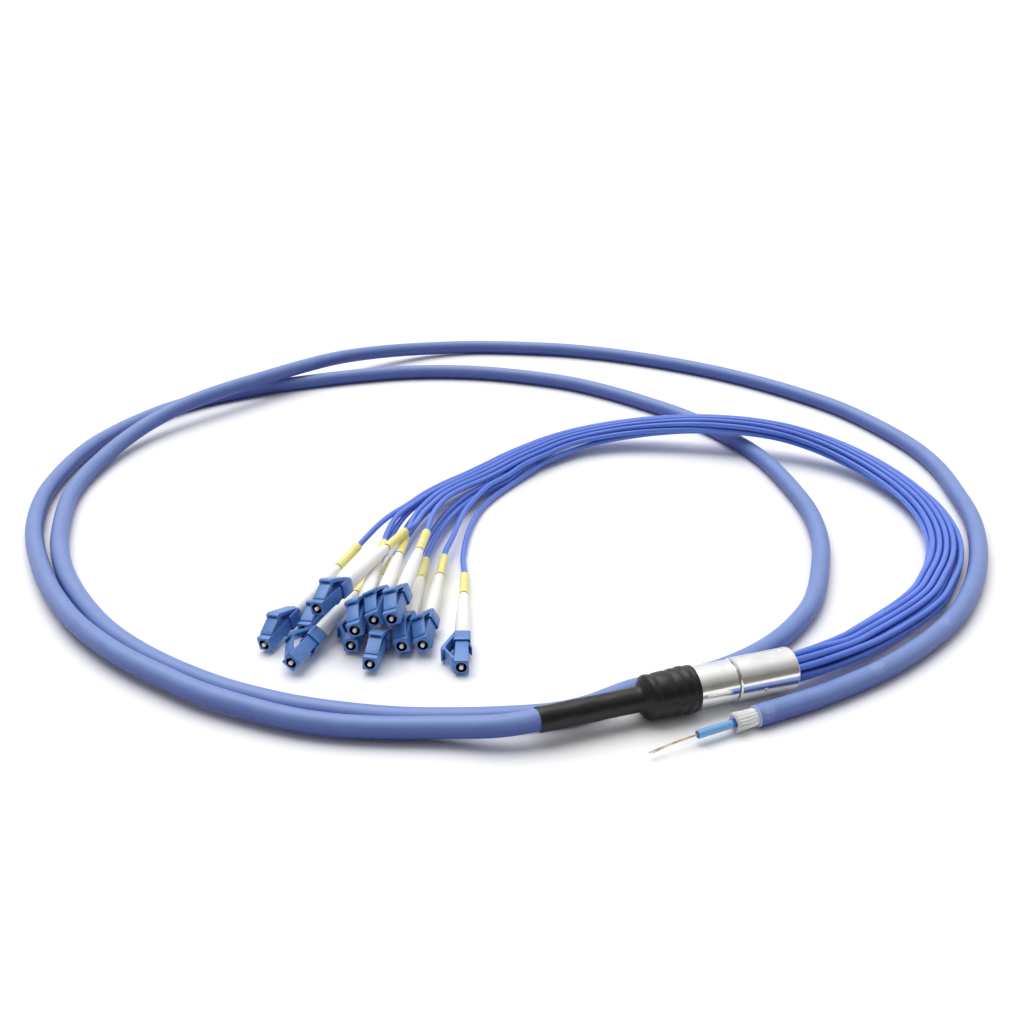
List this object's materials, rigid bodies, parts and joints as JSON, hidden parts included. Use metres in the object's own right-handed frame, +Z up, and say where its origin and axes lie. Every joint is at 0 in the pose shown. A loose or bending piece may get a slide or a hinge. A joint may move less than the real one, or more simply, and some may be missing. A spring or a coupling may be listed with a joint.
{
  "type": "preterminated fibre optic cable",
  "caption": "Coiled blue fibre optic trunk cable, stripped at one end, with a metal gland at the other that fans out into thin pigtails with latching plugs.",
  "frame": {"origin": "on the surface it lies on, under the heat-shrink sleeve and gland, 38.9 mm from the sleeve's end on the trunk cable", "axes": "+X along the gland towards the pigtails, +Z up"},
  "size_m": [0.3499, 0.3513, 0.0206],
  "materials": {
    "trunk_jacket": "smooth extruded jacket, slightly satin",
    "strength_yarns": "cut white glass yarns",
    "loose_tube": "smooth light blue tube",
    "bare_fibres": "thin coated fibres, amber",
    "heat_shrink": "black shrunk sleeve, satin",
    "plated_gland": "bright plated turned metal",
    "pigtail_jacket": "thin saturated blue jacket",
    "plug_housing": "moulded blue housing, with a white ceramic ferrule in its nose",
    "boot": "moulded off-white strain relief",
    "marker_sleeve": "pale yellow sleeve"
  },
  "bodies": {
    "root": {"trunk_cable": "trunk_jacket", "strength_yarns": "strength_yarns", "loose_tube": "loose_tube", "fibre_bundle": "bare_fibres", "heat_shrink": "heat_shrink", "gland_body": "plated_gland", "gland_sleeve": "plated_gland", "connector_01": "plug_housing", "connector_02": "plug_housing", "connector_03": "plug_housing", "connector_04": "plug_housing", "connector_05": "plug_housing", "connector_06": "plug_housing", "connector_07": "plug_housing", "connector_08": "plug_housing", "connector_09": "plug_housing", "connector_10": "plug_housing", "connector_11": "plug_housing", "connector_12": "plug_housing", "boot_01": "boot", "boot_02": "boot", "boot_03": "boot", "boot_04": "boot", "boot_05": "boot", "boot_06": "boot", "boot_07": "boot", "boot_08": "boot", "boot_09": "boot", "boot_10": "boot", "boot_11": "boot", "boot_12": "boot", "marker_sleeve_01": "marker_sleeve", "marker_sleeve_02": "marker_sleeve", "marker_sleeve_03": "marker_sleeve", "marker_sleeve_04": "marker_sleeve", "marker_sleeve_05": "marker_sleeve", "marker_sleeve_06": "marker_sleeve", "marker_sleeve_07": "marker_sleeve", "marker_sleeve_08": "marker_sleeve", "marker_sleeve_09": "marker_sleeve", "marker_sleeve_10": "marker_sleeve", "marker_sleeve_11": "marker_sleeve", "marker_sleeve_12": "marker_sleeve", "pigtail_01": "pigtail_jacket", "pigtail_02": "pigtail_jacket", "pigtail_03": "pigtail_jacket", "pigtail_04": "pigtail_jacket", "pigtail_05": "pigtail_jacket", "pigtail_06": "pigtail_jacket", "pigtail_07": "pigtail_jacket", "pigtail_08": "pigtail_jacket", "pigtail_09": "pigtail_jacket", "pigtail_10": "pigtail_jacket", "pigtail_11": "pigtail_jacket", "pigtail_12": "pigtail_jacket"}
  },
  "joints": []
}
